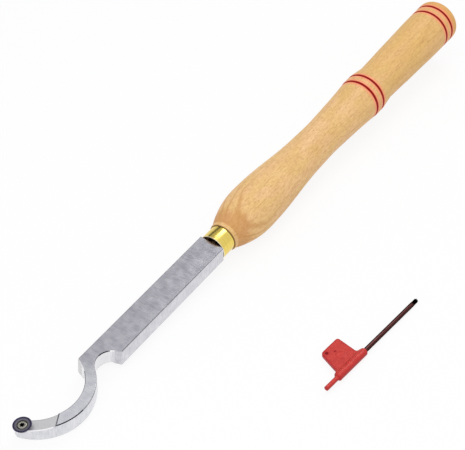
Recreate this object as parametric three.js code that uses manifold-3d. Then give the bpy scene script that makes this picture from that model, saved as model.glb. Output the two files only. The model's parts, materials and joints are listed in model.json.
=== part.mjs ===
// Swan-neck hollowing tool for a wood lathe, with the flag key that turns its cutter's screw.
//
// The tool is drawn level and then laid on the bench. In the level drawing +X runs from the
// mouth of the brass ferrule to the cutting tip, Z comes out of the top face of the steel bar,
// and the axis of the handle runs along the middle of the bar, behind the mouth, towards -X.
// In the finished set +Z is up, the bench is at z = 0, +X still points to the cutting tip, and
// the origin lies on the bench under the middle of the set. All lengths are in millimetres.

import * as THREE from 'three';
import { ConvexGeometry } from 'three/addons/geometries/ConvexGeometry.js';
import { mergeVertices } from 'three/addons/utils/BufferGeometryUtils.js';
import Module from 'manifold-3d';

const degrees = THREE.MathUtils.degToRad;

// Clearance that two pieces keep where one is seated on or in the other
const seatGap = 0.3;
// How far a cutting shape runs past the faces that it cuts
const overrun = 2;

// Steel bar: a rectangular section with a round tang behind it
const barWidth = 19;
const barThickness = 12.7;
const tangRadius = 5;
const tangLength = 82;
const tangChamfer = 1;

// Swan neck: an arm bent to an arc that leaves the bar beside a round notch. The centre of its
// inner arc is offset, so that the arm widens a little towards the cutter.
const crookOuterRadius = 35.4;
const armWidth = 6.9;
const crookCentreAhead = 159.3;
const crookCentreAside = 16.7;
const innerCentreBehind = 0.7;
const innerCentreAside = 1.1;
const notchRadius = 10.8;
const notchCentreBeyondSide = 1.1;
const notchCornerRadius = 1.6;
const undersideRounding = 2.8;
const largestRoundingShare = 0.45;
const armStraightensAt = degrees(150);
const armEndsAt = degrees(19);
const notchSquareFrom = degrees(-150);
const insideCornerFlare = 1.3;

// Seat of the cutter: a flat milled into the arm's top that slopes down towards the tip
const cutterAt = degrees(22.6);
const cutterFromOutside = 2.2;
const seatHeading = degrees(-62);
const seatSlope = degrees(5);
const seatStepDistance = 20.1;
const seatStepDepth = 0.6;

// Round carbide cutter with a relieved edge and a countersunk hole
const cutterRadius = 6;
const cutterThickness = 2.5;
const cutterRelief = degrees(30);
const cutterLandWidth = 1;
const cutterDish = 0.15;

// Countersunk screw with a six-lobed socket
const screwHeadRadius = 2.9;
const screwHeadSink = 0.25;
const screwConeAngle = degrees(30);
const screwShankRadius = 1.7;
const screwLength = 8;
const screwEndChamfer = 0.5;
const socketRadius = 1.6;
const socketDepth = 1.9;
const screwHoleBeyond = 0.8;

// Brass ferrule
const ferruleRadius = 10;
const ferruleWall = 1.7;
const ferruleLength = 12;
const ferruleEdge = 0.3;

// Turned wooden handle, with its stations measured backwards from the ferrule's mouth
const spigotSetBack = 3;
const shoulderRadius = 11;
const shoulderEdge = 0.6;
const shoulderBeadLength = 3;
const bulgeBack = 47;
const bulgeRadius = 18.5;
const waistBack = 137;
const waistRadius = 14.05;
const collarFrontBack = 190;
const collarRearBack = 198.5;
const collarRadius = 17.1;
const throatBack = 213.5;
const throatRadius = 15.35;
const gripEndBack = 300;
const gripEndRadius = 17.5;
const handleEndBack = 308.4;
const endRounding = 4;
const endDome = 1;
const groovesBack = [187.5, 195.8, 290.5, 298.6];
const grooveWidth = 1.8;
const grooveDepth = 0.8;

// Glue that holds the tang in the handle's bore
const glueThickness = 0.8;
const glueSetBack = 11;
const boreBeyondTang = 3;

// Curved stretches of the handle: shares of the way along and of the change in radius
const shoulderToBulgeShares = [[0.076, 0.17], [0.14, 0.28], [0.22, 0.41], [0.3, 0.515], [0.395, 0.64],
  [0.49, 0.745], [0.617, 0.855], [0.776, 0.95], [0.9, 0.985]];
const bulgeToWaistShares = [[0.1, 0.025], [0.18, 0.085], [0.255, 0.18], [0.345, 0.325], [0.43, 0.48],
  [0.52, 0.645], [0.61, 0.78], [0.7, 0.875], [0.79, 0.925], [0.88, 0.975]];
const waistToCollarShares = [[0.25, 0.17], [0.46, 0.33], [0.69, 0.55], [0.9, 0.83]];
const collarToThroatShares = [[0.3, 0.35], [0.57, 0.65], [0.83, 0.95]];
const throatToEndShares = [[0.17, 0.2], [0.31, 0.43], [0.46, 0.57], [0.61, 0.77], [0.76, 0.93]];

// How the tool lies: the place on the crook's arc that touches the bench
const benchTouchAt = degrees(42);

// Flag key: a steel blade moulded into a plastic handle of a barrel, a flag and a tail
const bladeRadius = 1.6;
const bladeReach = 61;
const bladeBuried = 18;
const bladeTipRadius = 1.5;
const bladeTipLength = 4.5;
const barrelRadius = 2.8;
const barrelLength = 30.3;
const barrelChamfer = 0.8;
const tailRadius = 1.6;
const tailLength = 12;
const flagThickness = 2.4;
const flagReach = 20.8;
const flagFrontAtBarrel = 4;
const flagFrontAtEdge = 0.7;
const flagRearAtBarrel = 26.2;
const flagRearAtEdge = 19;
const flagRootOut = 3.5;
const flagCornerRounding = 2.4;
const flagRootRounding = 1.6;
const flagHoleRadius = 1;
const flagHoleBack = 16.8;
const flagHoleOut = 18;
const flagDimpleRadius = 0.5;
const flagDimpleDepth = 0.5;
const flagDimpleBack = 12.2;
const flagDimpleOut = 14.6;
const flagDiscRadius = 3.4;
const flagDiscHeight = 0.2;
const flagDiscBack = 12.9;
const flagDiscOut = 9.4;

// Where the key lies: the place where its blade leaves the barrel, and the way the blade points
const keyAhead = 10.3;
const keyAside = 128.2;
const keyHeading = degrees(176.9);

// Numbers of sides on round work
const handleSides = 48;
const smallSides = 32;
const arcSteps = 32;
const cornerSteps = 5;
const lobeCount = 6;
const lobeSteps = 8;

const wasm = await Module();
wasm.setup();

function finish(color, roughness, metalness) {
  return new THREE.MeshStandardMaterial({ color, roughness, metalness, flatShading: true });
}

// Turn a closed geometry into a solid, welded by position, without the slivers at its poles
function solidOf(geometry) {
  const bare = geometry.clone();
  bare.deleteAttribute('normal');
  bare.deleteAttribute('uv');
  const welded = mergeVertices(bare);
  const corners = welded.index.array;
  const kept = [];
  for (let i = 0; i < corners.length; i += 3) {
    const [a, b, c] = corners.slice(i, i + 3);
    if (a !== b && b !== c && c !== a) {
      kept.push(a, b, c);
    }
  }
  const mesh = new wasm.Mesh({
    numProp: 3,
    vertProperties: welded.attributes.position.array,
    triVerts: new Uint32Array(kept),
  });
  return new wasm.Manifold(mesh);
}

// Turn a solid back into a geometry
function geometryOf(solid) {
  const mesh = solid.getMesh();
  const geometry = new THREE.BufferGeometry();
  geometry.setAttribute('position', new THREE.BufferAttribute(mesh.vertProperties, 3));
  geometry.setIndex(new THREE.BufferAttribute(mesh.triVerts, 1));
  geometry.computeVertexNormals();
  return geometry;
}

function piece(name, geometry, material) {
  const mesh = new THREE.Mesh(geometry, material);
  mesh.name = name;
  return mesh;
}

// Turn a profile of [distance along the axis, radius] about the Y axis
function turned(profile, sides) {
  return new THREE.LatheGeometry(profile.map(([along, radius]) => new THREE.Vector2(radius, along)), sides);
}

// Turn a profile about the Z axis, or about the X axis, with distances measured along it
function turnedAboutZ(profile, sides) {
  return turned(profile, sides).rotateX(Math.PI / 2);
}

function turnedAboutX(profile, sides) {
  return turned(profile, sides).rotateZ(-Math.PI / 2);
}

// Points on an arc of the XY plane, both ends included
function arc(centre, radius, from, to, steps) {
  const points = [];
  for (let i = 0; i <= steps; i += 1) {
    const angle = from + (to - from) * i / steps;
    points.push(new THREE.Vector2(Math.cos(angle), Math.sin(angle)).multiplyScalar(radius).add(centre));
  }
  return points;
}

// A star with six round lobes and six round hollows
function sixLobes(radius) {
  const hollowShare = 0.14;
  const steps = lobeCount * lobeSteps;
  const points = [];
  for (let i = 0; i < steps; i += 1) {
    const angle = 2 * Math.PI * i / steps;
    const reach = radius * (1 - hollowShare + hollowShare * Math.cos(lobeCount * angle));
    points.push(new THREE.Vector2(Math.cos(angle), Math.sin(angle)).multiplyScalar(reach));
  }
  return new THREE.Shape(points);
}

// Points of a curved stretch between two stations of the handle, ends left out
function stretch([startBack, startRadius], [endBack, endRadius], shares) {
  return shares.map(([along, change]) => [
    startBack + (endBack - startBack) * along,
    startRadius + (endRadius - startRadius) * change,
  ]);
}

// Circles of the swan neck: the arc of the arm, and the notch that runs smoothly into it
const crookInnerRadius = crookOuterRadius - armWidth;
const rounding = Math.min(undersideRounding, largestRoundingShare * armWidth);
const crookCentre = new THREE.Vector2(crookCentreAhead, -crookCentreAside);
const innerCentre = new THREE.Vector2(-innerCentreBehind, -innerCentreAside).add(crookCentre);
const notchCentreAside = barWidth / 2 + notchCentreBeyondSide;
const centresAcross = notchCentreAside + crookCentreAside;
const centresApart = crookOuterRadius + notchRadius;
const notchCentre = new THREE.Vector2(
  crookCentreAhead - Math.sqrt(centresApart ** 2 - centresAcross ** 2),
  notchCentreAside,
);
const cornerApart = notchRadius + notchCornerRadius;
const cornerAcross = notchCentreBeyondSide + notchCornerRadius;
const cornerCentre = new THREE.Vector2(
  notchCentre.x - Math.sqrt(cornerApart ** 2 - cornerAcross ** 2),
  barWidth / 2 - notchCornerRadius,
);
const cornerAt = Math.asin(cornerAcross / cornerApart);

// Point where a straight that touches a circle at an angle reaches a line along the bar's side
function tangentMeets(centre, radius, angle, side) {
  const start = new THREE.Vector2(Math.cos(angle), Math.sin(angle)).multiplyScalar(radius).add(centre);
  const rise = side - start.y;
  return new THREE.Vector2(start.x - rise * Math.tan(angle), side);
}

// Outline of the neck and crook, seen from above and drawn anticlockwise. It leaves the notch
// on a straight, because the shank fills the rest of the notch's rear wall.
function neckOutline() {
  const inner = arc(innerCentre, crookInnerRadius, armStraightensAt, armEndsAt, arcSteps);
  const innerEnd = inner[arcSteps];
  const outerEnd = arc(crookCentre, crookOuterRadius, armEndsAt, armEndsAt, 1)[0];
  const across = outerEnd.clone().sub(innerEnd);
  const tipCentre = innerEnd.clone().addScaledVector(across, 1 / 2);
  const tipFrom = across.angle() - Math.PI;
  const blendAt = Math.PI - Math.asin(centresAcross / centresApart);
  return new THREE.Shape([
    new THREE.Vector2(0, -barWidth / 2),
    tangentMeets(innerCentre, crookInnerRadius, armStraightensAt, -barWidth / 2),
    ...inner,
    ...arc(tipCentre, across.length() / 2, tipFrom, tipFrom + Math.PI, smallSides / 2).slice(1, -1),
    ...arc(crookCentre, crookOuterRadius, armEndsAt, blendAt, arcSteps),
    ...arc(notchCentre, notchRadius, blendAt - Math.PI, notchSquareFrom, arcSteps / 2).slice(1),
    tangentMeets(notchCentre, notchRadius, notchSquareFrom, barWidth / 2),
    new THREE.Vector2(0, barWidth / 2),
  ]);
}

// Outline of the square-edged shank, as far as the inside corner of the neck, with the rounded
// corner where it drops into the notch
function shankOutline() {
  const rearWall = arc(notchCentre, notchRadius, notchSquareFrom, -Math.PI + cornerAt, cornerSteps);
  const belowNotch = notchCentreAside - notchRadius - rounding - seatGap;
  return new THREE.Shape([
    new THREE.Vector2(0, -barWidth / 2),
    tangentMeets(innerCentre, crookInnerRadius, armStraightensAt, -barWidth / 2),
    arc(innerCentre, crookInnerRadius, armStraightensAt, armStraightensAt, 1)[0],
    new THREE.Vector2(rearWall[0].x, belowNotch),
    ...rearWall,
    ...arc(cornerCentre, notchCornerRadius, cornerAt, Math.PI / 2, cornerSteps).slice(1),
    new THREE.Vector2(0, barWidth / 2),
  ]);
}

// The wall between the inside corner and the arc leans out towards the bottom at the corner
function cornerFlare() {
  const corner = tangentMeets(innerCentre, crookInnerRadius, armStraightensAt, -barWidth / 2);
  const start = arc(innerCentre, crookInnerRadius, armStraightensAt, armStraightensAt, 1)[0];
  const points = [new THREE.Vector3(corner.x + insideCornerFlare, corner.y, -barThickness / 2)];
  for (const z of [-barThickness / 2, barThickness / 2]) {
    points.push(
      new THREE.Vector3(corner.x, corner.y, z),
      new THREE.Vector3(corner.x - insideCornerFlare, corner.y, z),
      new THREE.Vector3(start.x, start.y, z),
      new THREE.Vector3(start.x - insideCornerFlare, start.y, z),
    );
  }
  return new ConvexGeometry(points);
}

// Heights above the seat that the cutter and its screw share
const cutterTop = seatGap + cutterThickness;
const screwTop = cutterTop - screwHeadSink;
const coneSlope = Math.tan(screwConeAngle);
const coneGap = seatGap / Math.cos(screwConeAngle);

// The seat's own frame: on the slope, under the middle of the cutter, with its X down the slope
function seatFrame() {
  const seat = new THREE.Group();
  const drop = seatStepDepth + seatStepDistance * Math.tan(seatSlope);
  const [place] = arc(crookCentre, crookOuterRadius - cutterFromOutside, cutterAt, cutterAt, 1);
  seat.position.set(place.x, place.y, barThickness / 2 - drop);
  seat.rotation.set(0, seatSlope, seatHeading, 'ZYX');
  seat.updateMatrix();
  return seat;
}

function toolBar(seat) {
  // The neck's underside is rounded, the bar's own edges are square
  const slab = new THREE.ExtrudeGeometry(neckOutline(), {
    depth: barThickness - rounding,
    bevelThickness: rounding,
    bevelSize: rounding,
    bevelOffset: -rounding,
    bevelSegments: 3,
  });
  slab.translate(0, 0, rounding - barThickness / 2);
  const above = new THREE.BoxGeometry(
    2 * (crookCentreAhead + crookOuterRadius + overrun),
    2 * (crookCentreAside + crookOuterRadius + overrun),
    rounding + overrun,
  );
  above.translate(0, 0, (barThickness + rounding + overrun) / 2);
  const shank = new THREE.ExtrudeGeometry(shankOutline(), { depth: barThickness, bevelEnabled: false });
  shank.translate(0, 0, -barThickness / 2);
  const tang = turnedAboutX([
    [-tangLength, 0],
    [-tangLength, tangRadius - tangChamfer],
    [tangChamfer - tangLength, tangRadius],
    [overrun, tangRadius],
    [overrun, 0],
  ], smallSides);
  // Everything above the seat goes, from its step to past the tip
  const milledLength = seatStepDistance + cutterRadius + overrun;
  const milled = new THREE.BoxGeometry(milledLength, 2 * milledLength, barThickness);
  milled.translate(milledLength / 2 - seatStepDistance, 0, barThickness / 2);
  milled.applyMatrix4(seat.matrix);
  const holeBottom = screwTop - screwLength - screwHoleBeyond;
  const hole = turnedAboutZ([
    [holeBottom, 0],
    [holeBottom, screwShankRadius + seatGap],
    [overrun, screwShankRadius + seatGap],
    [overrun, 0],
  ], smallSides);
  hole.applyMatrix4(seat.matrix);
  const solid = solidOf(slab).subtract(solidOf(above)).add(solidOf(shank)).add(solidOf(cornerFlare()))
    .add(solidOf(tang)).subtract(solidOf(milled)).subtract(solidOf(hole));
  return geometryOf(solid);
}

function cutter() {
  const holeRadius = screwShankRadius + coneGap;
  const sinkRadius = screwHeadRadius + coneGap + screwHeadSink * coneSlope;
  const sinkDepth = (sinkRadius - holeRadius) / coneSlope;
  const bottomRadius = cutterRadius - cutterThickness * Math.tan(cutterRelief);
  return turnedAboutZ([
    [seatGap, holeRadius],
    [seatGap, bottomRadius],
    [cutterTop, cutterRadius],
    [cutterTop - cutterDish, cutterRadius - cutterLandWidth],
    [cutterTop - cutterDish, sinkRadius],
    [cutterTop - sinkDepth, holeRadius],
    [seatGap, holeRadius],
  ], smallSides * 2);
}

function cutterScrew() {
  const coneDepth = (screwHeadRadius - screwShankRadius) / coneSlope;
  const body = turnedAboutZ([
    [screwTop - screwLength, 0],
    [screwTop - screwLength, screwShankRadius - screwEndChamfer],
    [screwTop - screwLength + screwEndChamfer, screwShankRadius],
    [screwTop - coneDepth, screwShankRadius],
    [screwTop, screwHeadRadius],
    [screwTop, 0],
  ], smallSides);
  const socket = new THREE.ExtrudeGeometry(sixLobes(socketRadius), {
    depth: socketDepth + overrun,
    bevelEnabled: false,
  });
  socket.translate(0, 0, screwTop - socketDepth);
  return geometryOf(solidOf(body).subtract(solidOf(socket)));
}

// Radii inside the handle, from the tang outwards
const glueInner = tangRadius + seatGap;
const glueOuter = glueInner + glueThickness;
const handleBore = glueOuter + seatGap;
const spigotRadius = ferruleRadius - ferruleWall - seatGap;
const ferruleFrontBack = seatGap;
const ferruleRearBack = ferruleFrontBack + ferruleLength;
const shoulderBack = ferruleRearBack + seatGap;
const shoulderBeadBack = shoulderBack + shoulderBeadLength;

// Every stretch of the handle's outside, from its shoulder to its domed end
function handleOutside() {
  const shoulderFront = [shoulderBack, shoulderRadius - shoulderEdge];
  const beadFront = [shoulderBack + shoulderEdge, shoulderRadius];
  const shoulder = [shoulderBeadBack, shoulderRadius];
  const bulge = [bulgeBack, bulgeRadius];
  const waist = [waistBack, waistRadius];
  const collarFront = [collarFrontBack, collarRadius];
  const collarRear = [collarRearBack, collarRadius];
  const throat = [throatBack, throatRadius];
  const gripEnd = [gripEndBack, gripEndRadius];
  const rim = [handleEndBack - endRounding, gripEndRadius];
  const outline = [
    shoulderFront,
    beadFront,
    shoulder,
    ...stretch(shoulder, bulge, shoulderToBulgeShares),
    bulge,
    ...stretch(bulge, waist, bulgeToWaistShares),
    waist,
    ...stretch(waist, collarFront, waistToCollarShares),
    collarFront,
    collarRear,
    ...stretch(collarRear, throat, collarToThroatShares),
    throat,
    ...stretch(throat, gripEnd, throatToEndShares),
    gripEnd,
    rim,
  ].map(([back, radius]) => new THREE.Vector2(back, radius));
  return outline;
}

// Radius of the handle's outside at a place, read along its outline
function radiusAt(outline, back) {
  for (let i = 1; i < outline.length; i += 1) {
    const [before, after] = [outline[i - 1], outline[i]];
    if (back <= after.x) {
      const along = (back - before.x) / (after.x - before.x);
      return before.y + (after.y - before.y) * along;
    }
  }
  return outline[outline.length - 1].y;
}

function handle() {
  const outside = handleOutside();
  const grooved = [];
  const half = grooveWidth / 2;
  const cuts = groovesBack.map((back) => ({ start: back - half, middle: back, end: back + half }));
  const inCut = (back) => cuts.some((cut) => back > cut.start && back < cut.end);
  for (const point of outside) {
    if (!inCut(point.x)) {
      grooved.push([point.x, point.y]);
    }
  }
  for (const cut of cuts) {
    grooved.push([cut.start, radiusAt(outside, cut.start)]);
    grooved.push([cut.middle, radiusAt(outside, cut.middle) - grooveDepth]);
    grooved.push([cut.end, radiusAt(outside, cut.end)]);
  }
  grooved.sort((a, b) => a[0] - b[0]);
  const endCentre = new THREE.Vector2(handleEndBack - endRounding, gripEndRadius - endRounding);
  const endCurve = arc(endCentre, endRounding, Math.PI / 2, 0, cornerSteps).slice(1);
  const boreEnd = tangLength + boreBeyondTang;
  const profile = [
    [boreEnd, 0],
    [boreEnd, handleBore],
    [spigotSetBack, handleBore],
    [spigotSetBack, spigotRadius],
    [shoulderBack, spigotRadius],
    ...grooved,
    ...endCurve.map((point) => [point.x, point.y]),
    [handleEndBack + endDome, 0],
  ];
  return turned(profile, handleSides).rotateZ(Math.PI / 2);
}

function ferrule() {
  const innerRadius = ferruleRadius - ferruleWall;
  return turned([
    [ferruleRearBack, innerRadius],
    [ferruleFrontBack + ferruleEdge, innerRadius],
    [ferruleFrontBack, innerRadius + ferruleEdge],
    [ferruleFrontBack, ferruleRadius - ferruleEdge],
    [ferruleFrontBack + ferruleEdge, ferruleRadius],
    [ferruleRearBack, ferruleRadius],
    [ferruleRearBack, innerRadius],
  ], handleSides).rotateZ(Math.PI / 2);
}

function tangGlue() {
  const rear = tangLength - tangChamfer;
  return turned([
    [rear, glueInner],
    [glueSetBack, glueInner],
    [glueSetBack, glueOuter],
    [rear, glueOuter],
    [rear, glueInner],
  ], smallSides).rotateZ(Math.PI / 2);
}

// The key is drawn with its blade along +X, its flag towards +Y, and its barrel's mouth at x = 0
const buriedBore = bladeRadius + seatGap;

function keyBlade() {
  const shaftEnd = bladeReach - bladeTipLength;
  const shaft = turnedAboutX([
    [-bladeBuried, 0],
    [-bladeBuried, bladeRadius],
    [shaftEnd, bladeRadius],
    [shaftEnd + bladeRadius, bladeRadius / 2],
    [shaftEnd + bladeRadius, 0],
  ], smallSides / 2);
  const tip = new THREE.ExtrudeGeometry(sixLobes(bladeTipRadius), {
    depth: bladeTipLength + bladeRadius,
    bevelEnabled: false,
  });
  tip.rotateY(Math.PI / 2);
  tip.translate(shaftEnd - bladeRadius, 0, 0);
  return geometryOf(solidOf(shaft).add(solidOf(tip)));
}

// A polygon from corners of [along, out, rounding]; a rounded corner becomes a short curve
function roundedOutline(corners) {
  const points = [];
  corners.forEach(([along, out, rounding], i) => {
    const corner = new THREE.Vector2(along, out);
    if (rounding === 0) {
      points.push(corner);
      return;
    }
    const before = corners[(i + corners.length - 1) % corners.length];
    const after = corners[(i + 1) % corners.length];
    const [start, end] = [before, after].map(([x, y]) => (
      new THREE.Vector2(x, y).sub(corner).normalize().multiplyScalar(rounding).add(corner)
    ));
    const curve = new THREE.QuadraticBezierCurve(start, corner, end);
    points.push(...curve.getPoints(cornerSteps));
  });
  return points;
}

function keyFlag() {
  const barrel = turnedAboutX([
    [-barrelLength, 0],
    [-barrelLength, barrelRadius - barrelChamfer],
    [barrelChamfer - barrelLength, barrelRadius],
    [-barrelChamfer, barrelRadius],
    [0, barrelRadius - barrelChamfer / 2],
    [0, 0],
  ], smallSides);
  const tail = turnedAboutX([
    [-barrelLength - tailLength, 0],
    [-barrelLength - tailLength, tailRadius],
    [-barrelLength + overrun, tailRadius],
    [-barrelLength + overrun, 0],
  ], smallSides);
  const outline = new THREE.Shape(roundedOutline([
    [-barrelChamfer, 0, 0],
    [-barrelChamfer, barrelRadius, 0],
    [-flagFrontAtBarrel, flagRootOut, flagRootRounding],
    [-flagFrontAtEdge, flagReach, flagCornerRounding],
    [-flagRearAtEdge, flagReach, flagCornerRounding],
    [-flagRearAtBarrel, flagRootOut, flagRootRounding],
    [barrelChamfer - barrelLength, barrelRadius, 0],
    [barrelChamfer - barrelLength, 0, 0],
  ]));
  outline.holes.push(new THREE.Path(
    arc(new THREE.Vector2(-flagHoleBack, flagHoleOut), flagHoleRadius, 2 * Math.PI, 0, smallSides / 2).slice(1),
  ));
  const flag = new THREE.ExtrudeGeometry(outline, { depth: flagThickness, bevelEnabled: false });
  flag.translate(0, 0, -flagThickness / 2);
  const disc = turnedAboutZ([
    [0, 0],
    [0, flagDiscRadius],
    [flagThickness / 2 + flagDiscHeight, flagDiscRadius - flagDiscHeight],
    [flagThickness / 2 + flagDiscHeight, 0],
  ], smallSides);
  disc.translate(-flagDiscBack, flagDiscOut, 0);
  const dimple = turnedAboutZ([
    [flagThickness / 2 - flagDimpleDepth, 0],
    [flagThickness / 2 - flagDimpleDepth, flagDimpleRadius],
    [flagThickness / 2 + overrun, flagDimpleRadius],
    [flagThickness / 2 + overrun, 0],
  ], smallSides / 2);
  dimple.translate(-flagDimpleBack, flagDimpleOut, 0);
  const bore = turnedAboutX([
    [-bladeBuried - seatGap, 0],
    [-bladeBuried - seatGap, buriedBore],
    [overrun, buriedBore],
    [overrun, 0],
  ], smallSides);
  const solid = solidOf(barrel).add(solidOf(tail)).add(solidOf(flag)).add(solidOf(disc))
    .subtract(solidOf(dimple)).subtract(solidOf(bore));
  return geometryOf(solid);
}

// The tool, drawn level
const tool = new THREE.Group();
const seat = seatFrame();
seat.add(
  piece('cutter_insert', cutter(), finish(0x55525f, 0.3, 1)),
  piece('cutter_screw', cutterScrew(), finish(0x8a8a7c, 0.3, 1)),
);
tool.add(
  piece('handle', handle(), finish(0xdfb67f, 0.45, 0)),
  piece('ferrule', ferrule(), finish(0xd9c25a, 0.25, 1)),
  piece('tool_bar', toolBar(seat), finish(0xb9bac2, 0.35, 1)),
  piece('tang_glue', tangGlue(), finish(0xc9b98a, 0.4, 0)),
  seat,
);

// The tool touches the bench under the handle's bulge and under the crook. The pitch is found
// that makes both equally deep, and the roll that brings the chosen place on the arc lowest.
function layOnBench(group) {
  const outside = handleOutside();
  const touchRadius = crookOuterRadius - rounding;
  const rollFor = (pitch) => -Math.asin(Math.tan(pitch) * Math.tan(benchTouchAt));
  const handleDepth = (pitch) => Math.max(
    ...outside.map((point) => point.y * Math.cos(pitch) - point.x * Math.sin(pitch)),
  );
  const crookDepth = (pitch) => {
    const roll = rollFor(pitch);
    return crookCentreAhead * Math.sin(pitch) + crookCentreAside * Math.cos(pitch) * Math.sin(roll)
      + touchRadius * Math.sin(pitch) / Math.cos(benchTouchAt)
      + barThickness / 2 * Math.cos(pitch) * Math.cos(roll);
  };
  let [low, high] = [0, Math.PI / 8];
  for (let i = 0; i < 40; i += 1) {
    const middle = (low + high) / 2;
    if (crookDepth(middle) < handleDepth(middle)) {
      low = middle;
    } else {
      high = middle;
    }
  }
  group.rotation.set(rollFor(low), low, 0, 'YXZ');
  group.position.z = handleDepth(low);
}
layOnBench(tool);

// The key lies on its barrel's front edge, on the end of its blade and on the flag's far edge
function layKeyDown(group) {
  const dip = Math.atan((barrelRadius - bladeTipRadius) / bladeReach);
  const lean = Math.asin(barrelRadius / Math.hypot(flagReach, flagThickness / 2))
    - Math.atan(flagThickness / 2 / flagReach);
  group.rotation.set(-lean, dip, keyHeading, 'ZYX');
  group.position.set(keyAhead, keyAside, barrelRadius * Math.cos(dip));
}
const key = new THREE.Group();
key.add(
  piece('key_blade', keyBlade(), finish(0x3a2a2a, 0.4, 0.8)),
  piece('key_flag', keyFlag(), finish(0xd24641, 0.4, 0)),
);
layKeyDown(key);

// The origin goes to the bench, under the middle of everything
const set = new THREE.Group();
set.add(tool, key);
set.updateMatrixWorld(true);
const extent = new THREE.Box3().setFromObject(set, true);
const middle = extent.getCenter(new THREE.Vector3());
set.position.set(-middle.x, -middle.y, -extent.min.z);

export default set;
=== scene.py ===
# %% [markdown]
# # A swan-neck hollowing tool and its flag key
# The tool is a hand tool for a wood lathe. A turned wooden handle holds a ground steel bar, whose
# hooked end carries a small round cutter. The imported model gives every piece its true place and
# size, so this lesson only dresses it. We load it first, because each piece below is measured
# from it.

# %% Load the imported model
import json
import math

import bmesh
import bpy
from mathutils import Matrix, Vector
from mathutils.kdtree import KDTree

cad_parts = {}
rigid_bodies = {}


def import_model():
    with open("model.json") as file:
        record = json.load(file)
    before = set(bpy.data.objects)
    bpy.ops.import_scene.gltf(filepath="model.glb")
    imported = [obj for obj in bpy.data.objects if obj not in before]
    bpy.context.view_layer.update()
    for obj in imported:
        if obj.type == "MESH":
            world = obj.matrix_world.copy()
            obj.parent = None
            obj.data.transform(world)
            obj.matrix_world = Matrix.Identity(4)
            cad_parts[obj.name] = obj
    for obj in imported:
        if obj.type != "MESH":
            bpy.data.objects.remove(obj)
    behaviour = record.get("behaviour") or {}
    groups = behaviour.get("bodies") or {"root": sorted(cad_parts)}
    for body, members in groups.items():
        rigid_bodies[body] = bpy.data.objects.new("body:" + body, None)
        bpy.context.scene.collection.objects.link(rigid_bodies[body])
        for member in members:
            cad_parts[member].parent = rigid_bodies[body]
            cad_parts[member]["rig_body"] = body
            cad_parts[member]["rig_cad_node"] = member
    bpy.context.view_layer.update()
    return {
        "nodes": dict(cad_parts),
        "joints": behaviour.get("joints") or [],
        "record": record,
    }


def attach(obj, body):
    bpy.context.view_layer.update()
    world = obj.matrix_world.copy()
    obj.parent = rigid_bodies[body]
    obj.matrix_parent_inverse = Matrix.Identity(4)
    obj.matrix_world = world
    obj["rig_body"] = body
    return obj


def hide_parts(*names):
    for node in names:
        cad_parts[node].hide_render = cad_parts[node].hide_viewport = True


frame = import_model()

MM = 0.001
ROUND_OFF = MM / 100

# %% [markdown]
# ## The frames of the pieces
# On a real bench the tool lies a little nose-down and rolled, so nothing in it runs along the
# world's axes. We could copy the angles from the drawing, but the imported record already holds
# them: its mounts are faces of the bar, and its joint is the axis of the cutter's screw. From
# those we build one frame for the tool and one for the cutter's seat.

# %% Frames of the tool and of the cutter's seat
MOUNTS_AHEAD = 60 * MM


def frame_of(origin, ahead, up):
    """A frame with X along ahead and Z along up, at origin."""
    aside = up.cross(ahead)
    turn = Matrix((ahead, aside, up)).transposed().to_4x4()
    return Matrix.Translation(origin) @ turn


mounts = {mount["name"]: mount for mount in frame["record"]["mounts"]}
tool_up = Vector(mounts["bar_top"]["axis"]).normalized()
tool_ahead = Vector(mounts["bar_side_left"]["axis"]).cross(tool_up).normalized()
bar_middle = (Vector(mounts["bar_top"]["pos_m"]) + Vector(mounts["bar_underside"]["pos_m"])) / 2
tool_frame = frame_of(bar_middle - tool_ahead * MOUNTS_AHEAD, tool_ahead, tool_up)

screw_joint = next(joint for joint in frame["joints"] if joint["name"] == "screw_turn")
seat_up = Vector(screw_joint["axis"]).normalized()
downhill = (seat_up * seat_up.dot(tool_up) - tool_up).normalized()
seat_frame = frame_of(Vector(screw_joint["pos_m"]), downhill, seat_up)
print("Slope of the seat, degrees:", round(math.degrees(seat_up.angle(tool_up)), 2))

# %% [markdown]
# The key lies by itself, and it has no mount. Its blade is a straight rod, so the rod's two ends
# give the direction, and the largest face of the moulded flag gives the way up.

# %% Frame of the key
END_REACH = 3.5 * MM


def corners_of(node):
    """The places of a CAD node's corners."""
    return [vertex.co.copy() for vertex in frame["nodes"][node].data.vertices]


flag_faces = frame["nodes"]["key_flag"].data.polygons
key_up = max(flag_faces, key=lambda face: face.area if face.normal.z > 0 else 0).normal.copy()
blade_corners = corners_of("key_blade")
blade_tip = min(blade_corners, key=lambda corner: corner.x)
blade_butt = max(blade_corners, key=lambda corner: corner.x)


def middle_of(points):
    """The middle of the box round some points."""
    low = Vector([min(point[i] for point in points) for i in range(3)])
    high = Vector([max(point[i] for point in points) for i in range(3)])
    return (low + high) / 2


tip_middle, butt_middle = [
    middle_of([corner for corner in blade_corners if (corner - end).length < END_REACH])
    for end in (blade_tip, blade_butt)
]
key_ahead = tip_middle - butt_middle
key_ahead = (key_ahead - key_up * key_ahead.dot(key_up)).normalized()
key_line = frame_of(butt_middle, key_ahead, key_up)
mouth = max((key_line.inverted() @ corner).x for corner in corners_of("key_flag"))
key_frame = frame_of(key_line @ Vector((mouth, 0, 0)), key_ahead, key_up)
blade_places = [key_frame.inverted() @ corner for corner in blade_corners]
blade_in, blade_out = [pick(place.x for place in blade_places) for pick in (min, max)]
print("Blade, mm:", round(blade_in / MM, 2), round(blade_out / MM, 2))

# %% [markdown]
# ## The camera
# The photograph was taken from above and from the cutter's side with a long lens, so the tool
# shows little perspective. The place below was found by matching the bar's straight edges and
# the crook's arcs. We aim the camera first, because every later choice is judged through it.

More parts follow.
